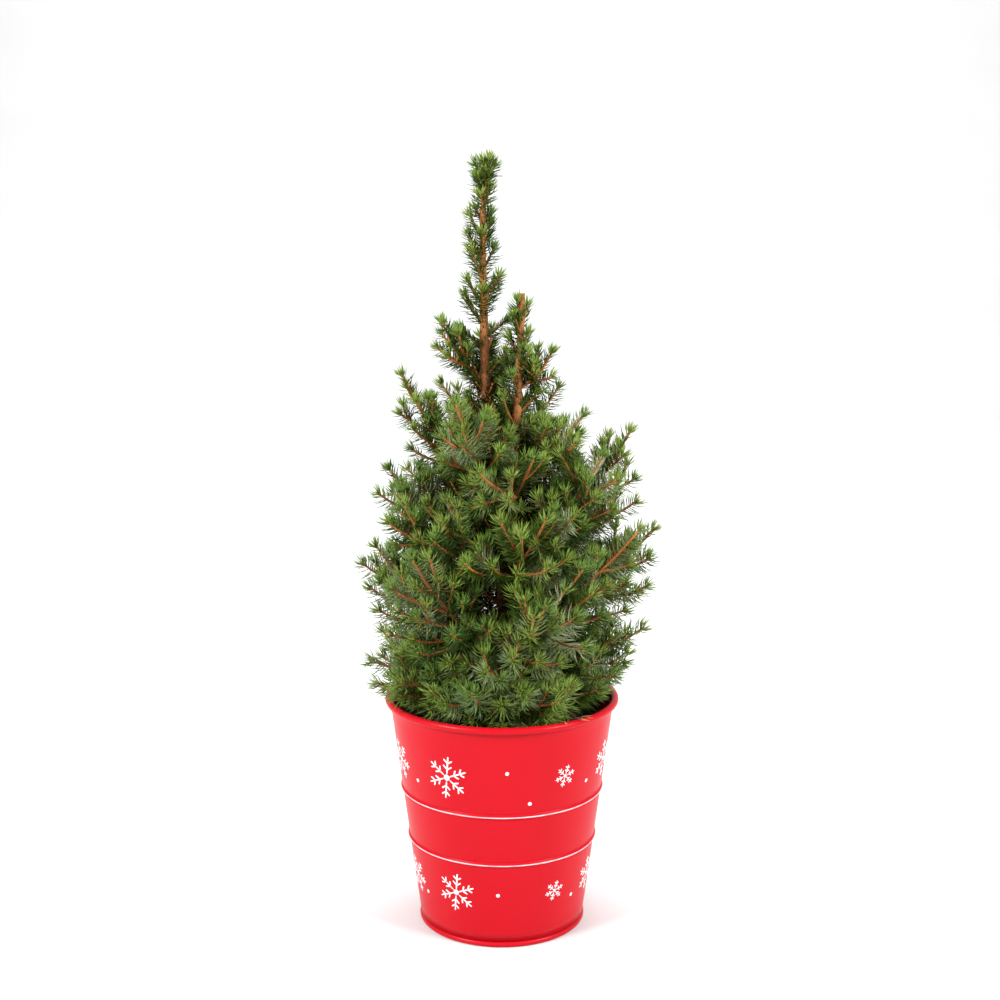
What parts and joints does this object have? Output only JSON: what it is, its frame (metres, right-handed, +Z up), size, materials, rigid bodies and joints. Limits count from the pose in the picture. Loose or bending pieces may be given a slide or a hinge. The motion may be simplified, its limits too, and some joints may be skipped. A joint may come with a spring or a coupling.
{
  "type": "potted dwarf alberta spruce",
  "caption": "Young dwarf conifer with a cone of short ascending boughs, a needled leader and a cut second leader, standing in a round tapered tin pot with a rolled rim.",
  "frame": {"origin": "centre of the pot's flat underside", "axes": "+Z up the plant, -Y to its front (the side with the cut second leader nearer), +X to its right"},
  "size_m": [0.1656, 0.149, 0.424],
  "materials": {
    "red_paint": "gloss red enamel on thin pressed sheet, with small white printed snowflakes",
    "compost": "dark damp crumbly potting compost",
    "bark": "rough tan-orange to brown bark with needle pegs",
    "twig_bark": "ribbed orange-brown young bark",
    "needles": "waxy mid to dark green needles with yellow-green young tips"
  },
  "bodies": {
    "root": {"pot_body": "red_paint", "pot_base": "red_paint", "compost": "compost", "trunk": "bark", "second_leader": "bark", "crown_left_bough": "twig_bark", "crown_right_bough": "twig_bark", "crown_back_bough": "twig_bark", "upper_left_bough": "twig_bark", "upper_front_left_bough": "twig_bark", "upper_front_bough": "twig_bark", "upper_right_bough": "twig_bark", "upper_back_bough": "twig_bark", "middle_left_bough": "twig_bark", "middle_front_left_bough": "twig_bark", "middle_front_bough": "twig_bark", "middle_front_right_bough": "twig_bark", "middle_right_bough": "twig_bark", "middle_back_right_bough": "twig_bark", "middle_back_left_bough": "twig_bark", "lower_left_bough": "twig_bark", "lower_front_left_bough": "twig_bark", "lower_front_bough": "twig_bark", "lower_front_right_bough": "twig_bark", "lower_right_bough": "twig_bark", "lower_back_right_bough": "twig_bark", "lower_back_left_bough": "twig_bark", "foot_left_bough": "twig_bark", "foot_front_bough": "twig_bark", "foot_right_bough": "twig_bark", "foot_back_bough": "twig_bark", "leader_tip_foliage": "needles", "leader_middle_foliage": "needles", "second_leader_foliage": "needles", "crown_left_foliage": "needles", "crown_right_foliage": "needles", "crown_back_foliage": "needles", "upper_left_foliage": "needles", "upper_front_left_foliage": "needles", "upper_front_foliage": "needles", "upper_right_foliage": "needles", "upper_back_foliage": "needles", "middle_left_foliage": "needles", "middle_front_left_foliage": "needles", "middle_front_foliage": "needles", "middle_front_right_foliage": "needles", "middle_right_foliage": "needles", "middle_back_right_foliage": "needles", "middle_back_left_foliage": "needles", "lower_left_foliage": "needles", "lower_front_left_foliage": "needles", "lower_front_foliage": "needles", "lower_front_right_foliage": "needles", "lower_right_foliage": "needles", "lower_back_right_foliage": "needles", "lower_back_left_foliage": "needles", "foot_left_foliage": "needles", "foot_front_foliage": "needles", "foot_right_foliage": "needles", "foot_back_foliage": "needles"}
  },
  "joints": []
}
